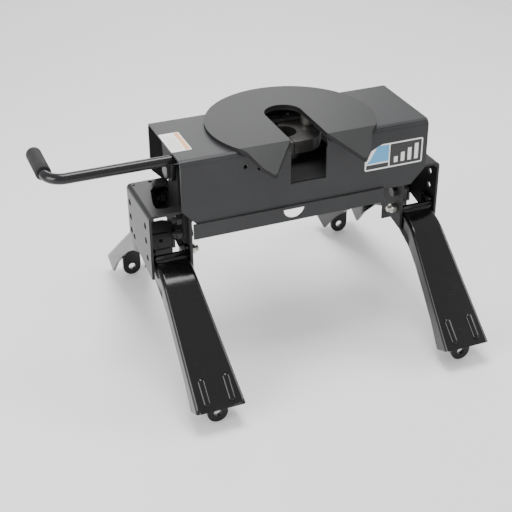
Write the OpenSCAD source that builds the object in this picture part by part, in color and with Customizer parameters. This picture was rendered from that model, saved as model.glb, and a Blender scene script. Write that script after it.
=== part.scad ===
// Fifth wheel hitch for a pickup bed: tilting head beam with a slotted skid plate,
// two locking jaws, a pull handle, and two uprights on four channel legs.
// X points to the passenger side, Y to the cab, Z up. The lugs' lowest line is z = 0.

/* [Feet] */
// Distance from the centre line to each foot lug, across the truck
foot_x = 256; // [250:1:262]
// Distance from the centre line to each foot lug, along the truck
foot_y = 279.4; // [275:0.1:284]
// Radius of the rounded lug
lug_r = 20; // [18:1:22]
// Radius of the pin hole in each lug
lug_hole_r = 7.5; // [6:0.5:8]

/* [Uprights] */
// Outer face of the outer side plate
outer_x = 305; // [303:1:308]
// Inner face of the inner side plate
inner_x = 222; // [221:1:223]
// Thickness of the upright's plates
plate_t = 5; // [4:0.5:6]
// Height of the top web
upright_top = 329; // [326:1:331]
// Front edge of the plates
upright_front = -68; // [-70:1:-66]
// Back edge of the plates
upright_back = 79; // [78:1:82]

/* [Head] */
// Half length of the head beam
beam_half = 251; // [250:1:253]
// Front face of the beam
beam_front = -103; // [-104:1:-102]
// Back face of the beam
beam_back = 93; // [91:1:94]
// Top face of the beam
beam_top = 445; // [445:1:446]
// Wall of the beam
beam_t = 4; // [4:0.5:4.5]
// Radius of the skid plate
skid_r = 164; // [160:1:168]
// Centre of the skid plate along the truck
skid_y = -12.6; // [-14:0.1:-11]
// Thickness of the skid plate
skid_t = 7; // [6:0.5:8]
// Half width of the kingpin slot
slot_half = 37.2; // [37:0.1:38]
// Downward slope of the ramp wings
wing_angle = 32; // [28:1:34]

/* [Jaws and handle] */
// Kingpin centre along the truck
pin_y = 20; // [20:1:21]
// Radius of the locked jaws' bore
jaw_bore_r = 25.6; // [25.5:0.1:26]
// Radius of the handle rod
rod_r = 10; // [9:0.5:10]
// Radius of the rubber grip
grip_r = 14.5; // [13:0.5:16]
// Outer end of the handle
handle_x = -478; // [-490:1:-460]

/* [Hidden] */
$fn = 64;

// Leg: line of the web's upper face, from the foot to the bend
leg_foot = [308, 46];
leg_bend = [105, 214];
leg_end = [66, 226.2];
leg_lip_top = 241;
lip_depth = 6;
leg_heel = [266, 24];
leg_t = 5;
leg_ear_y = 26;
leg_ear_top = 246;
leg_run = leg_foot[0] - leg_bend[0];
leg_rise = leg_bend[1] - leg_foot[1];
leg_angle = atan2(leg_rise, leg_run);
foot_half = 47.5;
leg_mid = 262.5;
leg_head_half = 34.5;

// Bolts and their places
bolt_r = 6;
hole_r = 6.75;
nut_r = 11;
leg_bolt = [44, 230];
column_front = -40;
column_back = 62;
height_rows = [266, 297];
low_row = 236;
lip_t = 3.5;
lip_bottom = 252;
brace_top = 263;

// Fasteners of the uprights: where they start and end along X
bolt_tip_x = 204;
nut_x = 212;
ear_inner_x = 233;
leg_head_x = 240;

// Head beam: lower edges of its walls, and the cutout for the kingpin
wall_low_front = 312;
wall_low_back = 318;
cutout_half = 36.5;
cutout_bottom = 361;
jig_r = 4;

// Front rail and its notch
rail_left = -231;
rail_right = 160;
rail_bottom = 286;
rail_top = 317;
rail_t = 4;
notch_x = -30;
notch_z = 313;
notch_r = 22;

// Skid plate: where it folds, and how far the wings reach down the slope
fold_y = -102;
wing_reach = 80;
wing_y = -94;

// Head pivot
pivot_z = 385;
pivot_r = 12.7;
bush_r = 19;
ear_x = 227;
ear_t = 8;
ear_r = 30;

// Jaws
jaw_z = 386;
jaw_t = 26;
jaw_px = 60;
jaw_py = 40;
jaw_bolt_r = 8;
jaw_open = 24;
cam_x = 34;
cam_y = 79;
cam_r = 3.5;
pull = 50;
slide_z = 414;
slide_t = 6;
rod_y = -54;
rod_z = 430;
bend_r = 32;
under_top = beam_top - beam_t;
// Corner cut off the plates that stand in the beam's rounded bends
corner_cut = 9;
carrier_z = 358;
carrier_t = 6;

// Extrudes a (y, z) outline along X from x0 over the length w
module along_x(x0, w) {
    translate([x0, 0, 0]) rotate([90, 0, 90]) linear_extrude(w) children();
}

// A rod along X from x0 to x1
module x_rod(r, x0, x1, y, z) {
    translate([x0, y, z]) rotate([0, 90, 0]) cylinder(r = r, h = x1 - x0);
}

// A hexagon prism along X
module x_hex(r, x0, x1, y, z) {
    translate([x0, y, z]) rotate([0, 90, 0]) cylinder(r = r, h = x1 - x0, $fn = 6);
}

// A box between two corners
module span(a, b) {
    translate(a) cube(b - a);
}

// The children, and their mirror image on the other side of the truck
module both_sides() {
    children();
    mirror([1, 0, 0]) children();
}

// Plate between the ears of a rear leg, with two grooves and a hole in its front
module brace() {
    y0 = 28;
    t = 3;
    foot = 165;
    x0 = leg_mid - leg_head_half + leg_t;
    x1 = leg_mid + leg_head_half - leg_t;
    round_r = 22;
    difference() {
        translate([0, y0 + t, 0]) rotate([90, 0, 0]) linear_extrude(t) difference() {
            union() {
                translate([x0, foot]) square([x1 - x0, brace_top - round_r - foot]);
                for (x = [x0 + round_r, x1 - round_r])
                    translate([x, brace_top - round_r]) circle(r = round_r);
                translate([x0 + round_r, 200])
                    square([x1 - x0 - 2 * round_r, brace_top - 200]);
            }
            translate([leg_mid - 6, 218]) circle(r = 4);
        }
        span([x0 + 8, y0 - 1, 234], [x1 - 12, y0 + 2, 239]);
        span([x0 + 5, y0 - 1, 198], [x1 - 5, y0 + 2, 203]);
    }
}

// Places of the holes in one side plate, as (y, z)
function outer_holes() = concat(
    [for (z = height_rows) [column_front, z]],
    [for (z = height_rows) [column_back, z]],
    [[column_back, low_row]]);

// ---- Uprights, drawn on the right side ----

// One side plate with its slanting lower edge, as a (y, z) outline
module side_outline() {
    difference() {
        polygon([[upright_front, upright_top], [upright_back, upright_top],
            [upright_back, 224], [-60, 194], [upright_front, 194]]);
        for (h = outer_holes()) translate(h) circle(r = hole_r);
        translate([-leg_bolt[0], leg_bolt[1]]) circle(r = bolt_r + 0.1);
        translate([leg_bolt[0], leg_bolt[1]]) circle(r = bolt_r + 0.1);
    }
}

module upright() {
    bend = 9;
    difference() {
        union() {
            for (x = [inner_x, outer_x - plate_t]) along_x(x, plate_t) side_outline();
            span([inner_x, upright_front, upright_top - plate_t],
                [outer_x, upright_back, upright_top]);
            // Lip folded down at the back
            span([inner_x + plate_t, upright_back - lip_t, lip_bottom],
                [outer_x - plate_t, upright_back, upright_top]);
            // Stiff inside corners of the two bends
            for (s = [0, 1])
                along_x(s == 0 ? inner_x : outer_x - 2 * plate_t, 2 * plate_t)
                    translate([upright_front, upright_top - 2 * plate_t])
                    square([upright_back - upright_front, 2 * plate_t]);
        }
        // Rounded bends between the web and the plates
        for (side = [0, 1])
            translate([side == 0 ? inner_x : outer_x, 0, upright_top])
                mirror([side, 0, 0]) rotate([90, 0, 0]) translate([0, 0, -90])
                linear_extrude(180) difference() {
                    translate([-1, -bend]) square([bend + 1, bend + 1]);
                    translate([bend, -bend]) circle(r = bend);
                }
        // Opening that the pivot bracket rises through
        translate([0, 0, upright_top - 3 * plate_t]) linear_extrude(4 * plate_t)
            polygon([[ear_x - 0.5, -44], [276, -44], [282, -38], [282, -20], [270, 34],
                [258, 50], [ear_x - 0.5, 50]]);
        // Two jig holes in the web
        translate([259.5, 71, upright_top - 10]) cylinder(r = 4, h = 20);
        translate([293, 68, upright_top - 10]) cylinder(r = 3, h = 20);
    }
}

// ---- Legs, drawn at the front right ----

// Side view of the leg; grow moves the outline inwards by that much
module leg_side(grow) {
    across = -[sin(leg_angle), cos(leg_angle)];
    foot = leg_foot + grow * across;
    bend = leg_bend - grow * [sin(leg_angle / 2 + 9), cos(leg_angle / 2 + 9)];
    tail = leg_end - [0, grow];
    low = grow > 0 ? 30 : 0;
    polygon([foot + low * [cos(leg_angle), -sin(leg_angle)],
        bend, tail,
        [leg_end[0], grow > 0 ? tail[1] : leg_lip_top],
        [leg_end[0] - lip_depth, grow > 0 ? tail[1] : leg_lip_top],
        [leg_end[0] - lip_depth, grow > 0 ? tail[1] : leg_ear_top],
        [leg_ear_y - low, grow > 0 ? tail[1] : leg_ear_top],
        [leg_ear_y - low, 198 - 2 * low],
        [50, 189 - 2 * low],
        [94, 170 - 2 * low],
        [136, 144 - 2 * low],
        [182, 107 - 2 * low],
        [229, 66 - 2 * low],
        leg_heel + low * [1, -2]]);
}

// The leg's width seen from above, tapering from the foot to the upright
module leg_plan(inset) {
    polygon([[foot_x - foot_half + inset, leg_foot[0] + 40],
        [foot_x + foot_half - inset, leg_foot[0] + 40],
        [foot_x + foot_half - inset, leg_foot[0] - 10],
        [leg_mid + leg_head_half - inset, leg_bend[0]],
        [leg_mid + leg_head_half - inset, leg_ear_y - 20],
        [leg_mid - leg_head_half + inset, leg_ear_y - 20],
        [leg_mid - leg_head_half + inset, leg_bend[0]],
        [foot_x - foot_half + inset, leg_foot[0] - 10]]);
}

module leg() {
    mirror([0, 1, 0]) difference() {
        intersection() {
            along_x(0, outer_x + 5) leg_side(0);
            linear_extrude(300) leg_plan(0);
        }
        intersection() {
            along_x(0, outer_x + 5) leg_side(leg_t);
            translate([0, 0, -100]) linear_extrude(400) leg_plan(leg_t);
        }
        // Open top between the two ears
        span([leg_mid - leg_head_half + leg_t, 0, 150],
            [leg_mid + leg_head_half - leg_t, leg_end[0] - lip_depth, 300]);
        x_rod(bolt_r + 0.1, inner_x, outer_x + 5, leg_bolt[0], leg_bolt[1]);
    }
}

// Web plane of the leg at a distance y from the middle
function web_z(y) = leg_foot[1] + (leg_foot[0] - y) * tan(leg_angle) - leg_t / cos(leg_angle);

// A foot lug: a tab under the web with a rounded end and a pin hole
module lug() {
    thick = 8;
    y0 = foot_y - thick / 2;
    mirror([0, 1, 0]) difference() {
        translate([foot_x, y0 + thick, lug_r]) rotate([90, 0, 0]) linear_extrude(thick)
            difference() {
                union() {
                    circle(r = lug_r);
                    translate([-lug_r, 0]) square([2 * lug_r, 60]);
                }
                circle(r = lug_hole_r);
            }
        along_x(foot_x - 50, 100) polygon([
            [y0 - 5, web_z(y0 - 5)], [y0 + thick + 5, web_z(y0 + thick + 5)],
            [y0 + thick + 5, 160], [y0 - 5, 160]]);
    }
}

// ---- Bolts of the stand ----

module leg_bolt_set() {
    for (y = [-leg_bolt[0], leg_bolt[0]]) {
        x_rod(bolt_r, bolt_tip_x, ear_inner_x, y, leg_bolt[1]);
        x_hex(nut_r, ear_inner_x, leg_head_x, y, leg_bolt[1]);
    }
}

module leg_nut_set() {
    for (y = [-leg_bolt[0], leg_bolt[0]])
        difference() {
            x_hex(nut_r, nut_x, inner_x, y, leg_bolt[1]);
            x_rod(bolt_r + 0.05, nut_x - 1, inner_x + 1, y, leg_bolt[1]);
        }
}

module height_bolt_set() {
    for (y = [column_front, column_back], z = height_rows) {
        x_rod(bolt_r, 214, 252, y, z);
        x_hex(nut_r, 214, inner_x, y, z);
    }
}

module height_nut_set() {
    for (y = [column_front, column_back], z = height_rows)
        difference() {
            x_hex(nut_r, ear_x + ear_t, ear_x + ear_t + 10, y, z);
            x_rod(bolt_r + 0.05, ear_x + ear_t - 1, 250, y, z);
        }
}

// Bracket bolted inside the upright, with the ear that carries the head
module pivot_bracket() {
    along_x(ear_x, ear_t) difference() {
        union() {
            translate([0, pivot_z]) circle(r = ear_r);
            translate([-ear_r, 300]) square([2 * ear_r, pivot_z - 300]);
            translate([-56, 252]) square([130, 62]);
        }
        translate([0, pivot_z]) circle(r = bush_r + 0.05);
        for (y = [column_front, column_back], z = height_rows)
            translate([y, z]) circle(r = bolt_r + 0.1);
    }
}

module pivot_bush() {
    difference() {
        x_rod(bush_r, ear_x - 1, ear_x + ear_t + 1, 0, pivot_z);
        x_rod(pivot_r + 0.08, ear_x - 2, ear_x + ear_t + 2, 0, pivot_z);
    }
}

// ---- Head ----

// Section of the beam: an inverted U with round bends
module beam_outline(inset) {
    r = 12 - inset;
    y0 = beam_front + inset;
    y1 = beam_back - inset;
    z1 = beam_top - inset;
    translate([y0, 250]) square([y1 - y0, z1 - r - 250]);
    translate([y0 + r, z1 - r - 1]) square([y1 - y0 - 2 * r, r + 1]);
    translate([y0 + r, z1 - r]) circle(r = r);
    translate([y1 - r, z1 - r]) circle(r = r);
}

module beam_section() {
    difference() {
        beam_outline(0);
        beam_outline(beam_t);
        square([300, wall_low_back]);
        translate([-300, 0]) square([300, wall_low_front]);
    }
}

// Slot outline in plan: a half circle behind two straight sides
module slot_outline(half) {
    translate([0, pin_y]) circle(r = half);
    translate([-half, -200]) square([2 * half, 200 + pin_y]);
}

module beam_shell() {
    color([0.30, 0.31, 0.32]) difference() {
        along_x(-beam_half, 2 * beam_half) beam_section();
        // Kingpin slot in the top and the front wall
        translate([0, 0, beam_top - 20]) linear_extrude(40) slot_outline(slot_half + 1);
        span([-cutout_half, beam_front - 5, cutout_bottom],
            [cutout_half, beam_front + 20, beam_top + 5]);
        // Chamfered lower corners
        for (s = [-1, 1], y = [beam_front - 1, beam_back - 10])
            translate([0, y + 11, 0]) rotate([90, 0, 0]) linear_extrude(11)
                polygon([[s * 216, 300], [s * 222, 314], [s * 252, 346],
                    [s * 260, 346], [s * 260, 300]]);
        // Two jig holes in the front wall
        for (h = [[-126.6, 414.7], [-99, 406.6]])
            translate([h[0], beam_front + 10, h[1]]) rotate([90, 0, 0])
                cylinder(r = jig_r, h = 20);
        // Holes for the jaw bolts
        for (s = [-1, 1]) translate([s * jaw_px, jaw_py, under_top - 5])
            cylinder(r = jaw_bolt_r + 0.05, h = 20);
    }
}

// Side view of the skid plate: flat, then bent down at the ramp wings
module skid_profile() {
    top = beam_top + skid_t;
    half = wing_angle / 2;
    polygon([[200, beam_top], [200, top], [fold_y, top],
        [fold_y - wing_reach * cos(wing_angle), top - wing_reach * sin(wing_angle)],
        [fold_y - wing_reach * cos(wing_angle) + skid_t * sin(wing_angle),
            top - wing_reach * sin(wing_angle) - skid_t * cos(wing_angle)],
        [fold_y + skid_t * tan(half), beam_top]]);
}

// One ramp wing seen from above, on the right
module wing_plan() {
    edge = sqrt(skid_r * skid_r - pow(wing_y - skid_y, 2)) - 0.5;
    polygon([[slot_half, wing_y], [edge, wing_y], [edge - 4, wing_y - 7], [126, -110],
        [116, -128], [108, -142], [99, -151], [91, -158.5], [86, -156], [slot_half, -101]]);
}

module skid_plate() {
    color([0.43, 0.43, 0.44]) intersection() {
        along_x(-170, 340) skid_profile();
        translate([0, 0, 380]) linear_extrude(100) difference() {
            union() {
                difference() {
                    translate([0, skid_y]) circle(r = skid_r, $fn = 128);
                    translate([-200, wing_y - 206]) square([400, 206]);
                }
                wing_plan();
                mirror([1, 0]) wing_plan();
            }
            slot_outline(slot_half);
        }
    }
}

// Bar welded under the front wall, with a half-round notch
module front_rail() {
    color([0.30, 0.31, 0.32]) difference() {
        span([rail_left, beam_front - rail_t, rail_bottom], [rail_right, beam_front, rail_top]);
        translate([notch_x, beam_front + 5, notch_z]) rotate([90, 0, 0]) intersection() {
            cylinder(r = notch_r, h = 20);
            translate([-30, -30, -1]) cube([60, 28, 30]);
        }
    }
}

module cheek(x0, w, half) {
    along_x(x0, w) difference() {
        union() {
            translate([0, pivot_z]) circle(r = 24);
            polygon([[-24, pivot_z], [24, pivot_z], [half, under_top - 6],
                [half, under_top], [-38, under_top], [-38, under_top - 6]]);
        }
        translate([0, pivot_z]) circle(r = pivot_r + 0.05);
    }
}

module cheek_plates() {
    color([0.25, 0.26, 0.27]) both_sides() {
        cheek(205, 8, 44);
        cheek(238, 5, 36);
    }
}

module pivot_pins() {
    color([0.62, 0.62, 0.60]) both_sides() {
        x_rod(pivot_r, 205, 250, 0, pivot_z);
        x_hex(20, 194, 205, 0, pivot_z);
    }
}

module pivot_nuts() {
    color([0.62, 0.62, 0.60]) both_sides() difference() {
        x_hex(18, 243, 250, 0, pivot_z);
        x_rod(pivot_r + 0.05, 242, 251, 0, pivot_z);
    }
}

// Plate below the jaws, welded between the beam's walls
module jaw_carrier() {
    color([0.25, 0.26, 0.27]) difference() {
        span([-100, beam_front + beam_t, carrier_z],
            [100, beam_back - beam_t, carrier_z + carrier_t]);
        for (s = [-1, 1]) translate([s * jaw_px, jaw_py, carrier_z - 5])
            cylinder(r = jaw_bolt_r + 0.05, h = 20);
    }
}

module rod_guide() {
    y0 = beam_front + beam_t;
    color([0.25, 0.26, 0.27]) along_x(-196, 6) difference() {
        polygon([[y0, 398], [-30, 398], [-30, under_top], [y0 + corner_cut, under_top],
            [y0, under_top - corner_cut]]);
        translate([rod_y, rod_z]) circle(r = rod_r + 0.08);
    }
}

module jaw_bolts() {
    color([0.62, 0.62, 0.60]) for (s = [-1, 1]) translate([s * jaw_px, jaw_py, 0]) {
        translate([0, 0, carrier_z]) cylinder(r = jaw_bolt_r, h = beam_top - carrier_z);
        translate([0, 0, carrier_z - 9]) cylinder(r = 14, h = 9, $fn = 6);
    }
}

module jaw_spacers() {
    color([0.62, 0.62, 0.60]) for (s = [-1, 1]) translate([s * jaw_px, jaw_py, 0])
        for (span_z = [[carrier_z + carrier_t, jaw_z - 0.3], [jaw_z + jaw_t + 0.3, under_top]])
            translate([0, 0, span_z[0]]) difference() {
                cylinder(r = 13, h = span_z[1] - span_z[0]);
                translate([0, 0, -1]) cylinder(r = jaw_bolt_r + 0.05, h = 80);
            }
}

module slide_guides() {
    y1 = beam_back - beam_t;
    z0 = slide_z + slide_t + 0.5;
    color([0.25, 0.26, 0.27]) for (x = [-66, 78])
        along_x(x, 14) polygon([[66, z0], [y1, z0], [y1, under_top - corner_cut],
            [y1 - corner_cut, under_top], [66, under_top]]);
}

module spring_post() {
    color([0.62, 0.62, 0.60]) translate([196, cam_y - 7, 404])
        cylinder(r = 4, h = under_top - 404);
}

module warning_label() {
    color([0.92, 0.92, 0.90]) span([-251, -56, beam_top], [-212, 26, beam_top + 0.4]);
}

module rating_label() {
    color([0.08, 0.08, 0.08]) translate([0, beam_front, 0]) rotate([90, 0, 0])
        linear_extrude(0.5) polygon([[117, 358], [237, 358], [241, 362], [241, 406],
            [237, 410], [152, 410], [138, 400], [117, 384]]);
}

// ---- Jaws, drawn on the left ----

module jaw_outline() {
    difference() {
        polygon([[-0.6, -34], [-38, -34], [-58, -22], [-76, 8], [-80, 24], [-81, 40],
            [-77, 54], [-68, 61], [-43, 82], [-38, 86], [-29, 86], [-25, 81], [-20, 64],
            [-3.8, 58], [-2, 53], [-0.6, 47]]);
        translate([0, pin_y]) circle(r = jaw_bore_r);
        translate([-jaw_px, jaw_py]) circle(r = jaw_bolt_r + 0.08);
        translate([-cam_x, cam_y]) circle(r = cam_r + 0.05);
    }
}

module jaw() {
    color([0.45, 0.45, 0.46]) translate([0, 0, jaw_z]) linear_extrude(jaw_t) jaw_outline();
}

module cam_pin() {
    color([0.62, 0.62, 0.60]) translate([-cam_x, cam_y, jaw_z + 4])
        cylinder(r = cam_r, h = slide_z + slide_t - jaw_z - 3);
}

// ---- Handle and lock slide ----

module handle_rod() {
    turn_x = handle_x + bend_r;
    color([0.06, 0.06, 0.07]) {
        x_rod(rod_r, turn_x, -76, rod_y, rod_z);
        translate([turn_x, rod_y + bend_r, rod_z]) rotate([0, 0, 180])
            rotate_extrude(angle = 90) translate([bend_r, 0]) circle(r = rod_r);
        translate([handle_x, rod_y + bend_r, rod_z]) rotate([-90, 0, 0])
            cylinder(r = rod_r, h = 84);
    }
}

module handle_grip() {
    start = rod_y + bend_r + 2;
    color([0.10, 0.10, 0.10]) difference() {
        translate([handle_x, start, rod_z]) rotate([-90, 0, 0]) rotate_extrude()
            polygon(concat([[0, 0], [grip_r - 2, 0], [grip_r, 3], [grip_r, 84]],
                [for (a = [0:15:90]) [(grip_r - 8) + 8 * cos(a), 84 + 8 * sin(a)]],
                [[0, 92]]));
        translate([handle_x, start - 1, rod_z]) rotate([-90, 0, 0])
            cylinder(r = rod_r + 0.05, h = 83.05);
    }
}

// Place of a cam pin seen from the slide as the jaws open, with s = -1 for the left jaw
function cam_arm() = [jaw_px - cam_x, cam_y - jaw_py];
function cam_path(s, t) =
    let (a = jaw_open * t, v = cam_arm())
    [s * (jaw_px - v[0] * cos(a) - v[1] * sin(a)) + pull * t,
        jaw_py - v[0] * sin(a) + v[1] * cos(a)];

// Outline of the slot that a cam pin runs in, with round ends
function cam_slot(s) =
    let (steps = 6, r = cam_r + 0.6,
        p = [for (i = [0:steps]) cam_path(s, i / steps)],
        way = [for (i = [0:steps])
            p[min(i + 1, steps)] - p[max(i - 1, 0)]],
        side = [for (w = way) r * [-w[1], w[0]] / norm(w)],
        turn = [for (w = way) atan2(w[1], w[0])])
    concat([for (i = [0:steps]) p[i] + side[i]],
        [for (a = [75:-15:-75]) p[steps] + r * [cos(turn[steps] + a), sin(turn[steps] + a)]],
        [for (i = [steps:-1:0]) p[i] - side[i]],
        [for (a = [-105:-15:-255]) p[0] + r * [cos(turn[0] + a), sin(turn[0] + a)]]);

module lock_slide() {
    color([0.45, 0.45, 0.46]) translate([0, 0, slide_z]) linear_extrude(slide_t)
        difference() {
            union() {
                translate([-116, 58]) square([218, 28.5]);
                translate([-116, -70]) square([40, 140]);
            }
            for (s = [-1, 1]) polygon(cam_slot(s));
            translate([96, cam_y - 7]) circle(r = 2.5);
        }
}

module rod_saddle() {
    color([0.45, 0.45, 0.46]) difference() {
        span([-112, rod_y - 15, slide_z + slide_t], [-80, rod_y + 15, rod_z + 6]);
        x_rod(rod_r + 0.05, -120, -70, rod_y, rod_z);
    }
}

module return_spring() {
    color([0.7, 0.7, 0.7]) difference() {
        x_rod(6, 104, 190, cam_y - 7, slide_z + 3);
        x_rod(4, 103, 191, cam_y - 7, slide_z + 3);
    }
}

module left() {
    mirror([1, 0, 0]) children();
}

module rear() {
    mirror([0, 1, 0]) children();
}

stand_grey = [0.16, 0.16, 0.17];
leg_black = [0.05, 0.05, 0.05];
zinc = [0.62, 0.62, 0.60];

color(stand_grey) left() upright();  // upright_left
color(stand_grey) upright();  // upright_right
color(leg_black) left() leg();  // leg_front_left
color(leg_black) leg();  // leg_front_right
color(leg_black) rear() left() leg();  // leg_rear_left
color(leg_black) rear() leg();  // leg_rear_right
color(leg_black) left() lug();  // lug_front_left
color(leg_black) lug();  // lug_front_right
color(leg_black) rear() left() lug();  // lug_rear_left
color(leg_black) rear() lug();  // lug_rear_right
color(zinc) both_sides() leg_bolt_set();  // leg_bolts
color(zinc) both_sides() leg_nut_set();  // leg_nuts
color(stand_grey) both_sides() brace();  // brace_plates
color(stand_grey) left() pivot_bracket();  // pivot_bracket_left
color(stand_grey) pivot_bracket();  // pivot_bracket_right
color(zinc) both_sides() height_bolt_set();  // height_bolts
color(zinc) both_sides() height_nut_set();  // height_nuts
color(leg_black) both_sides() pivot_bush();  // pivot_bushings
beam_shell();
skid_plate();
front_rail();
cheek_plates();
jaw_carrier();
rod_guide();
pivot_pins();
pivot_nuts();
jaw_bolts();
jaw_spacers();
slide_guides();
spring_post();
warning_label();
rating_label();
jaw();  // jaw_left
cam_pin();  // cam_pin_left
left() jaw();  // jaw_right
left() cam_pin();  // cam_pin_right
handle_rod();
handle_grip();
lock_slide();
rod_saddle();
return_spring();
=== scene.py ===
"""Looks of a fifth wheel hitch: folded plates, pressed legs, a handle and its lock.

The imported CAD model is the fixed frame. Sizes and places are read from that frame or are
named below, in metres, with +X to the passenger side, +Y to the cab and +Z up.
"""
import logging
import math
from contextlib import contextmanager
from dataclasses import dataclass
from enum import Enum
from typing import Any, Callable, Iterator, Sequence

import bmesh
import bpy
from mathutils import Euler, Matrix, Vector


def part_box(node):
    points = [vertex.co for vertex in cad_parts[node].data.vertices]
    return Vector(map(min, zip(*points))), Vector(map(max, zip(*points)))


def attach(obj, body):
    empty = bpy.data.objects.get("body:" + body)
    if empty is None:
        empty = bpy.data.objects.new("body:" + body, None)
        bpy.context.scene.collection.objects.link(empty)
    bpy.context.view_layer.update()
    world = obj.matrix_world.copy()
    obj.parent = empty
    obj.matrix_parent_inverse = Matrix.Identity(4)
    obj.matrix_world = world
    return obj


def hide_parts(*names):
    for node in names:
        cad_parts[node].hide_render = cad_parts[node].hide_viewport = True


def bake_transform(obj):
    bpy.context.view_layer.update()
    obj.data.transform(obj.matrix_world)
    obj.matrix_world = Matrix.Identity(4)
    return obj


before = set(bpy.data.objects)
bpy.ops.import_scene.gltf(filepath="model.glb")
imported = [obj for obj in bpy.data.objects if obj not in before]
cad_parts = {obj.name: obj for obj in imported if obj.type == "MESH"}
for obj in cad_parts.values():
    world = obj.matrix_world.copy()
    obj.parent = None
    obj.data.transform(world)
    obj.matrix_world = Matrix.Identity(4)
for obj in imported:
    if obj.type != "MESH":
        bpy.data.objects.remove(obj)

logging.basicConfig(level=logging.INFO, format="%(name)s: %(message)s")
log = logging.getLogger("hitch")

MM = 0.001


# ---------------------------------------------------------------- shader maths


class Value:
    """A number or vector socket that Python's operators combine through Math nodes."""

    def __init__(self, graph: "Graph", socket: bpy.types.NodeSocket) -> None:
        """Keep the socket and the graph that it belongs to."""
        self.graph = graph
        self.socket = socket

    def _math(self, operation: str, *others: Any) -> "Value":
        """Add one Math node.

        Args:
            operation: The Math node's operation.
            others: The sockets or numbers of its inputs, in order.

        Returns:
            The node's result.
        """
        return self.graph.node("ShaderNodeMath", {"operation": operation}, *others)

    def __add__(self, other: Any) -> "Value":
        """Sum."""
        return self._math("ADD", self, other)

    def __radd__(self, other: Any) -> "Value":
        """Sum, reflected."""
        return self._math("ADD", other, self)

    def __sub__(self, other: Any) -> "Value":
        """Difference."""
        return self._math("SUBTRACT", self, other)

    def __rsub__(self, other: Any) -> "Value":
        """Difference, reflected."""
        return self._math("SUBTRACT", other, self)

    def __mul__(self, other: Any) -> "Value":
        """Product."""
        return self._math("MULTIPLY", self, other)

    def sine(self) -> "Value":
        """Sine of an angle in radians."""
        return self._math("SINE", self)

    def size(self) -> "Value":
        """Absolute value."""
        return self._math("ABSOLUTE", self)

    def angle_to(self, other: "Value") -> "Value":
        """Angle of the point (other, self), in radians."""
        return self._math("ARCTAN2", self, other)


class Graph:
    """The node tree of one material."""

    def __init__(self, name: str) -> None:
        """Start a material with a Principled shader on its output.

        Args:
            name: The material's name.
        """
        self.material = bpy.data.materials.new(name)
        self.material.use_nodes = True
        self.tree = self.material.node_tree
        self.shader = self.tree.nodes["Principled BSDF"]

    def node(self, kind: str, settings: dict[str, Any], *inputs: Any,
             **named: Any) -> Value:
        """Add any node.

        Args:
            kind: The node's type name.
            settings: Its own settings, set first.
            inputs: Values or links of its sockets, in order.
            named: Values or links of sockets by name, with _ for a space.

        Returns:
            The node's first output.
        """
        made = self.tree.nodes.new(kind)
        for key, setting in settings.items():
            setattr(made, key, setting)
        for socket, given in zip(made.inputs, inputs):
            self._feed(socket, given)
        for key, given in named.items():
            self._feed(made.inputs[key.replace("_", " ")], given)
        return Value(self, made.outputs[0])

    def _feed(self, socket: bpy.types.NodeSocket, given: Any) -> None:
        """Link or set one input.

        Args:
            socket: The input.
            given: A Value to link, or a number or tuple to set.
        """
        if isinstance(given, Value):
            self.tree.links.new(given.socket, socket)
        elif isinstance(given, tuple) and len(given) == 3 and socket.type == "RGBA":
            socket.default_value = (*given, 1.0)
        else:
            socket.default_value = given

    def place(self, centre: Vector | None = None) -> Value:
        """Object coordinates in metres.

        Args:
            centre: The point that they are counted from, if not the origin.

        Returns:
            The coordinates.
        """
        made = self.tree.nodes.new("ShaderNodeTexCoord")
        here = Value(self, made.outputs["Object"])
        if centre is None:
            return here
        return self.node("ShaderNodeVectorMath", {"operation": "SUBTRACT"}, here,
                         tuple(centre))

    def axes(self, where: Value) -> tuple[Value, Value, Value]:
        """Split a vector.

        Args:
            where: The vector.

        Returns:
            Its x, y and z.
        """
        made = self.node("ShaderNodeSeparateXYZ", {}, where)
        outputs = made.socket.node.outputs
        return Value(self, outputs[0]), Value(self, outputs[1]), Value(self, outputs[2])

    def noise(self, where: Value, scale: float, detail: float = 2.0) -> Value:
        """Noise from 0 to 1 with that many cells a metre."""
        return self.node("ShaderNodeTexNoise", {}, Vector=where, Scale=scale,
                         Detail=detail)

    def band(self, value: Value, low: float, high: float, start: float = 0.0,
             end: float = 1.0) -> Value:
        """Map low to high onto start to end, clamped."""
        return self.node("ShaderNodeMapRange", {"clamp": True}, value, low, high, start,
                         end)

    def mix(self, factor: Any, first: Any, second: Any) -> Value:
        """Blend two colours.

        Args:
            factor: How much of the second one, from 0 to 1.
            first: One colour.
            second: The other colour.

        Returns:
            The blend.
        """
        made = self.tree.nodes.new("ShaderNodeMix")
        made.data_type = "RGBA"
        for index, given in ((0, factor), (6, first), (7, second)):
            self._feed(made.inputs[index], given)
        return Value(self, made.outputs[2])

    def bump(self, height: Value, depth: float) -> Value:
        """A Normal from a height, with its depth in metres."""
        return self.node("ShaderNodeBump", {}, Strength=1.0, Distance=depth,
                         Height=height)

    def finish(self, **sockets: Any) -> bpy.types.Material:
        """Feed the Principled shader.

        Args:
            sockets: Its inputs by name, with _ for a space.

        Returns:
            The finished material.
        """
        for key, given in sockets.items():
            self._feed(self.shader.inputs[key.replace("_", " ")], given)
        return self.material


# ---------------------------------------------------------------- finishes


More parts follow.
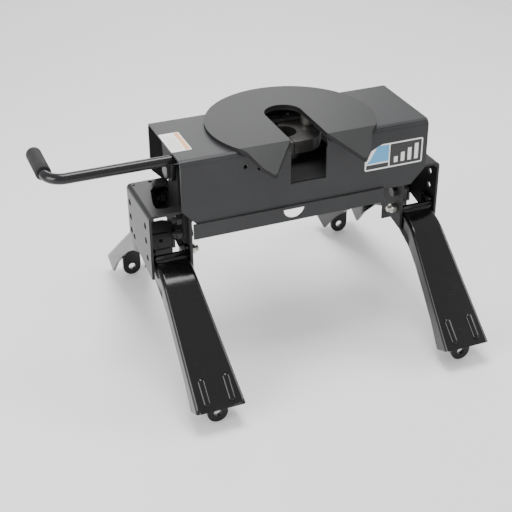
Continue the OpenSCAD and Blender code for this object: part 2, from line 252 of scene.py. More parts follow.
@dataclass(frozen=True)
class PowderCoat:
    """Baked powder coat: a fine orange peel with a little uneven gloss."""

    name: str
    colour: tuple[float, float, float]
    lighter: tuple[float, float, float]
    roughness: float = 0.42
    peel: float = 0.00005
    shine: float = 0.28

    def material(self) -> bpy.types.Material:
        """Build the coat's material.

        Returns:
            The finished material.
        """
        graph = Graph(self.name)
        here = graph.place()
        cloud = graph.noise(here, 9.0, 4.0)
        grain = graph.noise(here, 700.0, 3.0)
        pores = graph.noise(here, 1900.0, 1.0)
        flecks = graph.band(pores, 0.62, 0.72)
        colour = graph.mix(graph.band(cloud, 0.35, 0.65), self.colour, self.lighter)
        colour = graph.mix(flecks * 0.35, colour, tuple(c * 1.9 for c in self.lighter))
        rough = self.roughness + (cloud - 0.5) * 0.10 + (grain - 0.5) * 0.14
        return graph.finish(Base_Color=colour, Roughness=rough,
                            Specular_IOR_Level=self.shine,
                            Normal=graph.bump(grain + pores * 0.35, self.peel))


@dataclass(frozen=True)
class GlossPaint:
    """Black gloss enamel over steel, with slow ripples and faint scuffs."""

    name: str
    colour: tuple[float, float, float]
    roughness: float = 0.16

    def material(self) -> bpy.types.Material:
        """Build the enamel's material.

        Returns:
            The finished material.
        """
        graph = Graph(self.name)
        here = graph.place()
        ripple = graph.noise(here, 55.0, 2.0)
        dust = graph.noise(here, 420.0, 3.0)
        stretched = graph.node("ShaderNodeMapping", {}, Vector=here,
                               Scale=(40.0, 900.0, 900.0))
        scuff = graph.band(graph.noise(stretched, 1.0, 2.0), 0.66, 0.74)
        colour = graph.mix(graph.band(dust, 0.55, 0.8), self.colour,
                           tuple(c * 1.7 + 0.004 for c in self.colour))
        rough = self.roughness + graph.band(dust, 0.45, 0.75) * 0.10 + scuff * 0.12
        return graph.finish(Base_Color=colour, Roughness=rough, Coat_Weight=0.12,
                            Coat_Roughness=0.08, Specular_IOR_Level=0.30,
                            Normal=graph.bump(ripple + dust * 0.08, 0.00012))


@dataclass(frozen=True)
class ZincPlate:
    """Bright zinc plating with cloudy, slightly warm patches."""

    name: str = "zinc_plate"
    roughness: float = 0.30

    def material(self) -> bpy.types.Material:
        """Build the plating's material.

        Returns:
            The finished material.
        """
        graph = Graph(self.name)
        here = graph.place()
        cloud = graph.noise(here, 160.0, 4.0)
        spangle = graph.node("ShaderNodeTexVoronoi", {}, Vector=here, Scale=420.0)
        colour = graph.mix(graph.band(cloud, 0.35, 0.7), (0.62, 0.61, 0.58),
                           (0.48, 0.46, 0.40))
        rough = self.roughness + graph.band(cloud, 0.3, 0.7) * 0.18
        return graph.finish(Base_Color=colour, Metallic=0.95, Roughness=rough,
                            Normal=graph.bump(spangle, 0.00004))


@dataclass(frozen=True)
class CutSteel:
    """Bare plate steel: cut marks along it, with an oily brown cast."""

    name: str = "cut_steel"
    grain: tuple[float, float, float] = (18.0, 18.0, 900.0)

    def material(self) -> bpy.types.Material:
        """Build the steel's material.

        Returns:
            The finished material.
        """
        graph = Graph(self.name)
        here = graph.place()
        lines = graph.noise(graph.node("ShaderNodeMapping", {}, Vector=here,
                                       Scale=self.grain), 1.0, 3.0)
        stain = graph.noise(here, 38.0, 4.0)
        colour = graph.mix(graph.band(stain, 0.4, 0.68), (0.095, 0.094, 0.092),
                           (0.050, 0.045, 0.040))
        rough = 0.36 + lines * 0.16 + graph.band(stain, 0.4, 0.7) * 0.12
        return graph.finish(Base_Color=colour, Metallic=0.6, Roughness=rough,
                            Normal=graph.bump(lines, 0.00006))


@dataclass(frozen=True)
class Rubber:
    """Moulded rubber with a dull bloom."""

    name: str
    colour: tuple[float, float, float] = (0.018, 0.018, 0.018)

    def material(self) -> bpy.types.Material:
        """Build the rubber's material.

        Returns:
            The finished material.
        """
        graph = Graph(self.name)
        here = graph.place()
        grain = graph.noise(here, 1300.0, 2.0)
        bloom = graph.band(graph.noise(here, 45.0, 3.0), 0.4, 0.75)
        colour = graph.mix(bloom * 0.6, self.colour, (0.06, 0.06, 0.06))
        return graph.finish(Base_Color=colour, Roughness=0.66 + bloom * 0.12,
                            Normal=graph.bump(grain, 0.00012))


@dataclass(frozen=True)
class GripRubber:
    """Grip rubber with a moulded diamond pattern that winds round its axis."""

    axis: Vector
    name: str = "grip_rubber"
    turns: int = 14
    pitch: float = 0.0062

    def material(self) -> bpy.types.Material:
        """Build the grip's material.

        Returns:
            The finished material.
        """
        graph = Graph(self.name)
        here = graph.place(self.axis)
        x, y, z = graph.axes(here)
        angle = z.angle_to(x) * float(self.turns)
        along = y * (2.0 * math.pi / self.pitch)
        weave = (angle + along).sine() * (angle - along).sine()
        diamonds = graph.band(weave.size(), 0.05, 0.55)
        grain = graph.noise(here, 1500.0, 2.0)
        bloom = graph.band(graph.noise(here, 60.0, 3.0), 0.35, 0.7)
        colour = graph.mix(diamonds * 0.7 + bloom * 0.3, (0.004, 0.004, 0.0045),
                           (0.010, 0.010, 0.0105))
        return graph.finish(Base_Color=colour, Roughness=0.72 - diamonds * 0.1,
                            Normal=graph.bump(diamonds + grain * 0.15, 0.00045))


@dataclass(frozen=True)
class PrintedFilm:
    """One colour of a printed label under a clear, slightly wavy film."""

    name: str
    colour: tuple[float, float, float]
    roughness: float = 0.32

    def material(self) -> bpy.types.Material:
        """Build the film's material.

        Returns:
            The finished material.
        """
        graph = Graph(self.name)
        here = graph.place()
        wave = graph.noise(here, 120.0, 2.0)
        ink = graph.noise(here, 2400.0, 2.0)
        worn = graph.band(ink, 0.35, 0.75)
        colour = graph.mix(worn * 0.5, self.colour,
                           tuple(c * 0.86 + 0.004 for c in self.colour))
        return graph.finish(Base_Color=colour, Roughness=self.roughness + worn * 0.08,
                            Normal=graph.bump(wave, 0.00005))


class Finish(Enum):
    """Every finish on the hitch, by what it is on."""

    HEAD = PowderCoat("head_coat", (0.024, 0.0245, 0.026), (0.030, 0.0305, 0.032))
    SKID = PowderCoat("skid_coat", (0.021, 0.0215, 0.022), (0.027, 0.0275, 0.028),
                      shine=0.20)
    UPRIGHT = PowderCoat("upright_coat", (0.020, 0.020, 0.021), (0.027, 0.027, 0.028),
                         0.30, shine=0.22)
    # Painted shade: a near-black copy of the coat for the inside faces of the beam and
    # uprights, the skid plate's sides and underside, and the plates and brackets inside,
    # which lie in shade.
    INNER = PowderCoat("inner_coat", (0.006, 0.006, 0.007), (0.010, 0.010, 0.011), 0.6)
    LEG = GlossPaint("leg_enamel", (0.0035, 0.0035, 0.004))
    ROD = GlossPaint("rod_enamel", (0.008, 0.008, 0.009), 0.18)
    ZINC = ZincPlate()
    OXIDE = PowderCoat("black_oxide", (0.020, 0.020, 0.022), (0.032, 0.031, 0.031), 0.36)
    STEEL = CutSteel()
    RUBBER = Rubber("bush_rubber")
    LABEL_WHITE = PrintedFilm("label_white", (0.80, 0.79, 0.77))
    LABEL_ORANGE = PrintedFilm("label_orange", (0.72, 0.36, 0.16))
    LABEL_GREY = PrintedFilm("label_grey", (0.42, 0.42, 0.43))
    LABEL_BLACK = PrintedFilm("label_black", (0.012, 0.012, 0.014), 0.24)
    LABEL_BLUE = PrintedFilm("label_blue", (0.10, 0.36, 0.62), 0.24)


_mixed: dict[str, bpy.types.Material] = {}


def paint(finish: Any) -> bpy.types.Material:
    """The material of a finish, made the first time it is asked for.

    Args:
        finish: A member of Finish, or a recipe.

    Returns:
        The material.
    """
    recipe = finish.value if isinstance(finish, Finish) else finish
    if recipe.name not in _mixed:
        _mixed[recipe.name] = recipe.material()
    return _mixed[recipe.name]


def dress(piece: bpy.types.Object, *finishes: Any) -> None:
    """Give a piece its materials.

    Args:
        piece: The object.
        finishes: Its finishes, in slot order.
    """
    kept = [polygon.material_index for polygon in piece.data.polygons]
    piece.data.materials.clear()
    for finish in finishes:
        piece.data.materials.append(paint(finish))
    if len(finishes) > 1:
        for polygon, index in zip(piece.data.polygons, kept):
            polygon.material_index = index


# ---------------------------------------------------------------- bench tools


def select_only(*pieces: bpy.types.Object) -> None:
    """Select these objects and nothing else."""
    bpy.ops.object.select_all(action="DESELECT")
    for piece in pieces:
        piece.select_set(True)
    bpy.context.view_layer.objects.active = pieces[0]


@contextmanager
def bench(piece: bpy.types.Object, everything: bool = False) -> Iterator[None]:
    """Edit mode on one piece.

    Args:
        piece: The object to edit.
        everything: Whether all of it starts selected.
    """
    select_only(piece)
    bpy.ops.object.mode_set(mode="EDIT")
    bpy.ops.mesh.select_all(action="SELECT" if everything else "DESELECT")
    yield
    bpy.ops.object.mode_set(mode="OBJECT")


def pick(piece: bpy.types.Object, kind: str, test: Callable[[Any], bool]) -> None:
    """In edit mode, select exactly the faces or edges that pass a test.

    Args:
        piece: The object in edit mode.
        kind: FACE, or EDGE for the edges between two faces.
        test: What each face or edge has to pass.
    """
    bpy.ops.mesh.select_mode(type=kind)
    bpy.ops.mesh.select_all(action="DESELECT")
    mesh = bmesh.from_edit_mesh(piece.data)
    among = mesh.faces if kind == "FACE" else [edge for edge in mesh.edges
                                               if len(edge.link_faces) == 2]
    for chosen in [item for item in among if test(item)]:
        chosen.select_set(True)
    bmesh.update_edit_mesh(piece.data)


def add_modifier(piece: bpy.types.Object, kind: str, **settings: Any) -> None:
    """Add a modifier and apply it.

    Args:
        piece: The object.
        kind: The modifier's type.
        settings: Its settings by name.
    """
    select_only(piece)
    modifier = piece.modifiers.new(kind.lower(), kind)
    for key, setting in settings.items():
        setattr(modifier, key, setting)
    bpy.ops.object.modifier_apply(modifier=modifier.name)


def soften(piece: bpy.types.Object, angle: float = 32.0) -> None:
    """Shade smooth but for edges sharper than an angle, in degrees."""
    select_only(piece)
    bpy.ops.object.shade_smooth_by_angle(angle=math.radians(angle))


def settle(piece: bpy.types.Object) -> None:
    """Put a piece's place into its mesh, so that its object sits at the origin."""
    select_only(piece)
    bpy.ops.object.transform_apply(location=True, rotation=True, scale=True)


def push(x: float, y: float, z: float) -> None:
    """In edit mode, extrude what is selected by that much."""
    bpy.ops.mesh.extrude_region_move(TRANSFORM_OT_translate={"value": (x, y, z)})


def disc(name: str, sides: int, radius: float, place: Sequence[float],
         turn: Sequence[float], fill: str = "NGON") -> bpy.types.Object:
    """A flat disc, or an open ring, to extrude or wind.

    Args:
        name: Its name.
        sides: How many sides it has.
        radius: Its radius.
        place: Its middle.
        turn: Its rotation about X, Y and Z from lying flat.
        fill: NGON for a disc, NOTHING for a ring.

    Returns:
        The disc, with its place in its mesh.
    """
    bpy.ops.mesh.primitive_circle_add(vertices=sides, radius=radius, fill_type=fill,
                                      location=place, rotation=turn)
    piece = bpy.context.object
    piece.name = name
    settle(piece)
    return piece


def face_outwards(piece: bpy.types.Object) -> None:
    """Merge doubles and turn every face outwards."""
    with bench(piece, everything=True):
        bpy.ops.mesh.remove_doubles(threshold=1e-6)
        bpy.ops.mesh.normals_make_consistent(inside=False)


def duplicate(piece: bpy.types.Object, name: str, place: Matrix) -> bpy.types.Object:
    """Copy a piece with its own mesh.

    Args:
        piece: What to copy; its object sits at the origin.
        name: The copy's name.
        place: Where the copy goes. A mirroring matrix keeps its faces outwards.

    Returns:
        The copy, with its place in its mesh.
    """
    copy = piece.copy()
    copy.data = piece.data.copy()
    copy.name = name
    bpy.context.scene.collection.objects.link(copy)
    copy.data.transform(place)
    if place.determinant() < 0:
        copy.data.flip_normals()
    return copy


def weld_together(pieces: Sequence[bpy.types.Object], name: str) -> bpy.types.Object:
    """Join objects into one piece.

    Args:
        pieces: The objects.
        name: The piece's name.

    Returns:
        The piece.
    """
    select_only(*pieces)
    if len(pieces) > 1:
        bpy.ops.object.join()
    joined = bpy.context.view_layer.objects.active
    joined.name = name
    joined.data.name = name
    return joined


def cut_copy(node: str, name: str) -> bpy.types.Object:
    """A clean copy of a CAD node's mesh, with whole flat faces.

    Args:
        node: The CAD node.
        name: The copy's name.

    Returns:
        The copy, linked to the scene.
    """
    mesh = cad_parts[node].data.copy()
    piece = bpy.data.objects.new(name, mesh)
    bpy.context.scene.collection.objects.link(piece)
    with bench(piece, everything=True):
        bpy.ops.mesh.remove_doubles(threshold=2e-6)
        bpy.ops.mesh.dissolve_limited(angle_limit=math.radians(0.6))
    return piece


def round_edges(piece: bpy.types.Object, width: float, segments: int = 2,
                angle: float = 38.0) -> None:
    """Round every sharp edge of a piece a little, as a deburred plate has."""
    add_modifier(piece, "BEVEL", width=width, segments=segments, limit_method="ANGLE",
                 angle_limit=math.radians(angle), use_clamp_overlap=True,
                 miter_outer="MITER_ARC")


def mark_faces(piece: bpy.types.Object, test: Callable[[Vector, Vector], bool]) -> None:
    """Give the second finish to the faces whose middle and direction pass a test."""
    for face in piece.data.polygons:
        face.material_index = int(test(face.center, face.normal))


@dataclass
class Assembly:
    """A group of pieces that is made and then put on its body."""

    body: str

    def keep(self, piece: bpy.types.Object, finishes: Sequence[Any], slot: str, node: str,
             angle: float = 32.0, body: str | None = None,
             stretch: Sequence[Any] = ()) -> None:
        """Dress a piece and put it on its body.

        Args:
            piece: The finished mesh.
            finishes: Its finishes, in slot order.
            slot: The record's material slot; not used.
            node: The CAD node that it stands for.
            angle: Edges sharper than this stay sharp, in degrees.
            body: The body, if it isn't the assembly's own.
            stretch: For a piece that stretches between two bodies, both bodies and the
            points where it leaves the first and reaches the second; only whether it is given
            is read, and such a piece is put on no body.
        """
        settle(piece)
        soften(piece, angle)
        add_modifier(piece, "WEIGHTED_NORMAL", keep_sharp=True, weight=100)
        dress(piece, *finishes)
        if stretch:
            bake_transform(piece)
        else:
            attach(piece, body or self.body)
        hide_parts(node)
        log.info("%s: %d faces on %s", piece.name, len(piece.data.polygons),
                 body or self.body)

    def from_cad(self, node: str, name: str, edge: float, finishes: Sequence[Finish],
                 slot: str, angle: float = 32.0, body: str | None = None,
                 second: Callable[[Vector, Vector], bool] | None = None) -> None:
        """Make a piece from a CAD node by rounding its edges, and keep it.

        Args:
            node: The CAD node.
            name: The piece's name.
            edge: How far the edges are rounded, in millimetres.
            finishes: Its finishes, in slot order.
            slot: The record's material slot.
            angle: Edges sharper than this stay sharp, in degrees.
            body: The body, if it isn't the assembly's own.
            second: Which faces get the second finish, by their middle and direction.
        """
        piece = cut_copy(node, name)
        round_edges(piece, edge * MM)
        if second:
            mark_faces(piece, second)
        self.keep(piece, finishes, slot, node, angle, body)


# ---------------------------------------------------------------- fasteners


def cylinder(radius: float, start: float, end: float, sides: int = 32,
             rim: float = 0.0) -> bpy.types.Object:
    """A closed cylinder along X.

    Args:
        radius: Its radius.
        start: The x of its first end.
        end: The x of its other end.
        sides: How many sides it has; six make a hexagon with its corners up and down.
        rim: How much is bevelled off both rims.

    Returns:
        The cylinder, at the origin.
    """
    bpy.ops.mesh.primitive_cylinder_add(vertices=sides, radius=radius,
                                        depth=end - start,
                                        rotation=(0, math.pi / 2, 0))
    piece = bpy.context.object
    settle(piece)
    piece.rotation_euler = Euler((math.pi / 2, 0, 0))
    piece.location = ((start + end) / 2, 0, 0)
    settle(piece)
    if rim:
        with bench(piece):
            pick(piece, "EDGE", lambda edge: abs(edge.calc_face_angle(0.0)
                                                 - math.pi / 2) < 0.2)
            bpy.ops.mesh.bevel(offset=rim, segments=1, affect="EDGES")
    return piece


def cut_with(piece: bpy.types.Object, tool: bpy.types.Object, operation: str) -> None:
    """Cut a piece with another one, which is then thrown away.

    Args:
        piece: What is cut.
        tool: What cuts it.
        operation: The Boolean modifier's operation.
    """
    add_modifier(piece, "BOOLEAN", operation=operation, object=tool, solver="EXACT")
    bpy.data.objects.remove(tool)


@dataclass(frozen=True)
class Bolt:
    """A hexagon-head bolt along +X, its head's seat at x = 0."""

    shank_r: float
    head_r: float
    head_h: float
    length: float
    thread: float
    pitch: float = 2.0 * MM

    def head(self) -> bpy.types.Object:
        """The head: a hexagon with a turned chamfer and a shallow dish on top.

        Returns:
            The head.
        """
        piece = cylinder(self.head_r, -self.head_h, 0.0, 6)
        turned = cylinder(self.head_r * 1.001, -self.head_h, 0.4 * self.head_h, 48,
                          self.head_r * 0.13)
        cut_with(piece, turned, "INTERSECT")
        dish = cylinder(self.head_r * 0.62, -self.head_h - 1 * MM,
                        -self.head_h + 0.4 * MM, 32, 0.3 * MM)
        cut_with(piece, dish, "DIFFERENCE")
        return piece

    def shank(self) -> bpy.types.Object:
        """The shank with ridged threads and a chamfered end.

        Returns:
            The shank.
        """
        piece = disc("shank", 28, self.shank_r, (0, 0, 0), (0, math.pi / 2, 0))
        steps = max(1, int(self.thread / self.pitch) - 1)
        root = 0.90
        with bench(piece, everything=True):
            self._push(self.length - self.thread, 1.0)
            for _ in range(steps):
                self._push(self.pitch * 0.5, root)
                self._push(self.pitch * 0.5, 1.0 / root)
            self._push(self.thread - steps * self.pitch, 0.84)
        face_outwards(piece)
        return piece

    @staticmethod
    def _push(length: float, scale: float) -> None:
        """Extrude the selected end along X and scale it."""
        push(length, 0, 0)
        bpy.ops.transform.resize(value=(1, scale, scale))

    def build(self, name: str) -> bpy.types.Object:
        """The whole bolt as one object at the origin."""
        return weld_together([self.head(), self.shank()], name)


@dataclass(frozen=True)
class Nut:
    """A hexagon nut along +X from x = 0."""

    bore_r: float
    across_r: float
    height: float

    def build(self, name: str) -> bpy.types.Object:
        """The nut, chamfered at both faces and bored.

        Args:
            name: The nut's name.

        Returns:
            The nut.
        """
        piece = cylinder(self.across_r, 0.0, self.height, 6)
        turned = cylinder(self.across_r * 0.985, 0.0, self.height, 48,
                          self.across_r * 0.12)
        cut_with(piece, turned, "INTERSECT")
        bore = cylinder(self.bore_r, -1 * MM, self.height + 1 * MM, 32)
        cut_with(piece, bore, "DIFFERENCE")
        piece.name = name
        return piece


# ---------------------------------------------------------------- stand


class Side(Enum):
    """Left is the driver's side."""

    LEFT = -1
    RIGHT = 1


class End(Enum):
    """Front is the tailgate end, towards the viewer."""

    FRONT = -1
    REAR = 1


def corner_matrix(side: Side, end: End) -> Matrix:
    """Mirrors a piece drawn at the right front to another corner."""
    return Matrix.Diagonal((side.value, -end.value, 1, 1))


@dataclass
class Leg(Assembly):
    """One pattern leg, pressed from plate, and its three mirrored copies."""

    body: str = "stand"
    corner_r: float = 8 * MM
    bend_r: float = 22 * MM
    rib_length: float = 40 * MM
    rib_r: float = 7 * MM
    rib_low: float = 18 * MM
    rib_apart: float = 48 * MM
    ears_start: float = -62 * MM

    def pressing(self) -> bpy.types.Object:
        """The channel with its long corners and its top bend rounded.

        Returns:
            The channel.
        """
        piece = cut_copy("leg_front_right", "leg_pattern")
        with bench(piece):
            pick(piece, "EDGE", self._top_bend)
            bpy.ops.mesh.bevel(offset=self.bend_r, segments=8, affect="EDGES")
            pick(piece, "EDGE", self._long_corner)
            bpy.ops.mesh.bevel(offset=self.corner_r, segments=5, affect="EDGES")
        round_edges(piece, 0.7 * MM, 2, 50.0)
        return piece

    @staticmethod
    def _up_face(face: bmesh.types.BMFace) -> bool:
        """Whether a face is on the web's upper side."""
        return face.normal.z > 0.5 and abs(face.normal.x) < 0.2

    def _top_bend(self, edge: bmesh.types.BMEdge) -> bool:
        """Find the fold across the web.

        Args:
            edge: An edge of the channel.

        Returns:
            Whether the edge is the fold.
        """
        across = abs(edge.verts[0].co.x - edge.verts[1].co.x) > 30 * MM
        fold = math.degrees(edge.calc_face_angle(0.0)) > 8
        return across and fold and all(self._up_face(face) for face in edge.link_faces)

    def _long_corner(self, edge: bmesh.types.BMEdge) -> bool:
        """Find the web's two long outer corners.

        Args:
            edge: An edge of the channel.

        Returns:
            Whether the edge is on a corner.
        """
        ups = [self._up_face(face) for face in edge.link_faces]
        sides = [abs(face.normal.x) > 0.8 for face in edge.link_faces]
        low = min(vert.co.y for vert in edge.verts)
        return low < self.ears_start and any(ups) and any(sides) and edge.is_convex

    def slope(self, piece: bpy.types.Object) -> tuple[Vector, Vector]:
        """Find the web's slope.

        Args:
            piece: The channel.

        Returns:
            Where the web's face ends at the foot, and its direction up the slope.
        """
        webs = [face for face in piece.data.polygons
                if face.normal.z > 0.5 and face.normal.y < -0.4
                and abs(face.normal.x) < 0.05]
        web = max(webs, key=lambda face: face.area)
        points = [piece.data.vertices[i].co for i in web.vertices]
        low = min(points, key=lambda co: co.z)
        normal = web.normal
        up = normal.cross(Vector((1, 0, 0)))
        if up.z < 0:
            up.negate()
        return Vector((0, low.y, low.z)), up.normalized()

    def rib(self, start: Vector, up: Vector, across: float) -> bpy.types.Object:
        """A pressed rib: a long rounded bead half sunk in the web.

        Args:
            start: The web's end at the foot.
            up: Direction up the slope.
            across: The rib's place along X.

        Returns:
            The rib.
        """
        bpy.ops.mesh.primitive_uv_sphere_add(segments=20, ring_count=12,
                                             radius=self.rib_r)
        piece = bpy.context.object
        with bench(piece):
            pick(piece, "FACE", lambda face: face.calc_center_median().y > 0)
            bpy.ops.transform.translate(value=(0, self.rib_length, 0))
            bpy.ops.mesh.select_all(action="SELECT")
            bpy.ops.transform.resize(value=(1.0, 1.0, 0.55))
        tilt = math.atan2(up.z, up.y)
        piece.rotation_euler = Euler((tilt, 0, 0))
        piece.location = start + up * self.rib_low + Vector((across, 0, 0))
        settle(piece)
        return piece

    def build(self) -> None:
        """Make the pattern and put a copy at each corner."""
        pattern = self.pressing()
        start, up = self.slope(pattern)
        low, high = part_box("lug_front_right")
        middle = (low.x + high.x) / 2
        ribs = [self.rib(start, up, middle + side * self.rib_apart / 2) for side in (-1, 1)]
        pattern = weld_together([pattern, *ribs], "leg_pattern")
        for side in Side:
            for end in End:
                tag = f"{end.name.lower()}_{side.name.lower()}"
                leg = duplicate(pattern, f"pressed_leg_{tag}", corner_matrix(side, end))
                self.keep(leg, [Finish.LEG], "leg_gloss", f"leg_{tag}", 40.0)
                self.from_cad(f"lug_{tag}", f"pinned_lug_{tag}", 0.9, [Finish.LEG],
                              "leg_gloss", 30.0)
        bpy.data.objects.remove(pattern)


@dataclass
class Stand(Assembly):
    """Uprights, pivot brackets and their fasteners, with places along X on the right."""

    body: str = "stand"
    shank_r: float = 6 * MM
    hex_r: float = 11 * MM
    nut_h: float = 10 * MM
    leg_bolt_tip: float = 204 * MM
    leg_nut_face: float = 212 * MM
    leg_bolt_y: float = 44 * MM
    height_seat: float = 222 * MM
    height_nut_face: float = 235 * MM

    def uprights(self) -> None:
        """The two folded channels with their hole columns."""
        for side in Side:
            tag = side.name.lower()
            # The upright's inside faces get the near-black coat as painted shade.
            self.from_cad(f"upright_{tag}", f"folded_upright_{tag}", 0.6,
                          [Finish.UPRIGHT, Finish.INNER], "upright_coat",
                          second=self.inside)
            # The pivot brackets sit inside the uprights and are near-black all over as
            # painted shade.
            self.from_cad(f"pivot_bracket_{tag}", f"ear_bracket_{tag}", 0.8,
                          [Finish.INNER], "upright_coat")

    @staticmethod
    def inside(middle: Vector, normal: Vector) -> bool:
        """Find the inside of an upright, with its inner plate, its downward faces and its
        rear part, which get the near-black coat as painted shade.

        Args:
            middle: A face's middle.
            normal: The face's direction.

        Returns:
            Whether the face is inside.
        """
        x = abs(middle.x)
        return 218 * MM < x < 302 * MM and middle.z < 327 * MM and (
            x < 230 * MM or x > 297 * MM or normal.z < -0.5 or middle.y > 70 * MM)

    def fasteners(self) -> None:
        """Leg bolts, height bolts and all their nuts, from one pattern each."""
        dark = (Finish.OXIDE, "black_oxide")
        low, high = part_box("leg_bolts")
        head_h = 7 * MM
        seat = high.x - head_h
        bolt = Bolt(self.shank_r, self.hex_r, head_h, seat - self.leg_bolt_tip, 18 * MM)
        leg_spots = [(side * self.leg_bolt_y, (low.z + high.z) / 2) for side in (-1, 1)]
        self.place_all(bolt.build("bolt_pattern"), "hex_leg_bolts", "leg_bolts", seat, True,
                       leg_spots)
        low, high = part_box("height_bolts")
        flat = self.hex_r * math.cos(math.radians(30))
        spots = [(y, z) for y in (low.y + flat, high.y - flat)
                 for z in (low.z + self.hex_r, high.z - self.hex_r)]
        bolt = Bolt(self.shank_r, self.hex_r, 8 * MM, high.x - self.height_seat, 20 * MM)
        self.place_all(bolt.build("bolt_pattern"), "hex_height_bolts", "height_bolts",
                       self.height_seat, False, spots, *dark)
        nut = Nut(self.shank_r + 0.05 * MM, self.hex_r, self.nut_h)
        self.place_all(nut.build("nut_pattern"), "hex_height_nuts", "height_nuts",
                       self.height_nut_face, False, spots, *dark)
        self.place_all(nut.build("nut_pattern"), "hex_leg_nuts", "leg_nuts",
                       self.leg_nut_face, False, leg_spots)

    def place_all(self, pattern: bpy.types.Object, name: str, node: str, seat: float,
                  inward: bool, spots: Sequence[tuple[float, float]],
                  finish: Finish = Finish.ZINC, slot: str = "zinc") -> None:
        """Put copies of a fastener on both sides and keep them as one piece.

        Args:
            pattern: The fastener, along +X from the origin.
            name: The piece's name.
            node: The CAD node that it stands for.
            seat: The x of its seat on the right side.
            inward: Whether it points to the middle.
            spots: The y and z of each.
            finish: Their finish.
            slot: The record's material slot.
        """
        copies = []
        for side in Side:
            for y, z in spots:
                turn = Matrix.Diagonal((side.value * (-1 if inward else 1), 1, 1, 1))
                place = Matrix.Translation((side.value * seat, y, z)) @ turn
                copies.append(duplicate(pattern, name, place))
        bpy.data.objects.remove(pattern)
        self.keep(weld_together(copies, name), [finish], slot, node, 30.0)

    def build(self) -> None:
        """Make everything."""
        self.uprights()
        self.from_cad("brace_plates", "slotted_braces", 0.8, [Finish.UPRIGHT],
                      "upright_coat")
        self.fasteners()
        self.from_cad("pivot_bushings", "rubber_bushings", 0.6, [Finish.RUBBER], "rubber")


# ---------------------------------------------------------------- head


@dataclass
class Head(Assembly):
    """The beam, the skid plate and all that is fixed inside them."""

    body: str = "head"
    seam_y: float = -94 * MM
    seam_ends: tuple[float, float] = (38 * MM, 141 * MM)

    def beam(self) -> None:
        """The folded beam, its rail and the plates inside."""
        # The beam and rail get near-black painted shade on their inside faces; the plates
        # inside are near-black all over as painted shade.
        for node, name, width, finish in (
                ("beam_shell", "folded_beam", 0.5, Finish.HEAD),
                ("front_rail", "notched_rail", 0.7, Finish.HEAD),
                ("cheek_plates", "cut_cheek_plates", 0.6, Finish.INNER),
                ("jaw_carrier", "carrier_plate", 0.6, Finish.INNER),
                ("rod_guide", "guide_plate", 0.6, Finish.INNER),
                ("slide_guides", "guide_blocks", 0.6, Finish.INNER)):
            two = finish is Finish.HEAD
            self.from_cad(node, name, width, [finish, Finish.INNER] if two else [finish],
                          "head_coat", second=self.inside if two else None)

    @staticmethod
    def inside(middle: Vector, normal: Vector) -> bool:
        """Find the inside of the beam, whose faces get the near-black coat as painted shade.

        Args:
            middle: A face's middle.
            normal: The face's direction.

        Returns:
            Whether the face is inside.
        """
        low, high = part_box("beam_shell")
        return (low.y + 3 * MM < middle.y < high.y - 3 * MM
                and middle.z < high.z - 3 * MM and abs(normal.x) < 0.9)

    def skid(self) -> None:
        """The skid plate with soft edges and a rounded bend at the wings."""
        piece = cut_copy("skid_plate", "round_skid_plate")
        with bench(piece):
            pick(piece, "FACE", self._seam)
            bpy.ops.mesh.delete(type="ONLY_FACE")
            pick(piece, "EDGE", self._fold)
            bpy.ops.mesh.bevel(offset=9 * MM, segments=5, affect="EDGES",
                               clamp_overlap=True)
        round_edges(piece, 1.1 * MM, 3)
        # Painted shade: every face that doesn't face up, the sides and the underside, gets
        # the near-black coat.
        mark_faces(piece, lambda middle, normal: normal.z < 0.5)
        self.keep(piece, [Finish.SKID, Finish.INNER], "skid_coat", "skid_plate", 28.0)

    def _seam(self, face: bmesh.types.BMFace) -> bool:
        """Find the inner wall where a wing joins the disc.

        Args:
            face: A face of the skid plate.

        Returns:
            Whether the face is that wall.
        """
        middle = face.calc_center_median()
        across = abs(face.normal.y) > 0.99 and abs(middle.y - self.seam_y) < 0.01 * MM
        return across and self.seam_ends[0] < abs(middle.x) < self.seam_ends[1]

    @staticmethod
    def _fold(edge: bmesh.types.BMEdge) -> bool:
        """Whether an edge is the wings' bend."""
        return all(face.normal.z > 0.5 for face in edge.link_faces) or all(
            face.normal.z < -0.5 for face in edge.link_faces)

    def pins(self) -> None:
        """Pivot pins, nuts, jaw bolts, spacers and the spring's post."""
        dark, bright = (Finish.OXIDE, "black_oxide"), (Finish.ZINC, "zinc")
        for node, name, (finish, slot) in (
                ("pivot_pins", "headed_pivot_pins", dark), ("pivot_nuts", "jam_nuts", dark),
                ("jaw_bolts", "jaw_shafts", bright), ("jaw_spacers", "spacer_tubes", bright),
                ("spring_post", "round_post", bright)):
            self.from_cad(node, name, 0.5, [finish], slot, 30.0)

    def build(self) -> None:
        """Make everything."""
        self.beam()
        self.skid()
        self.pins()


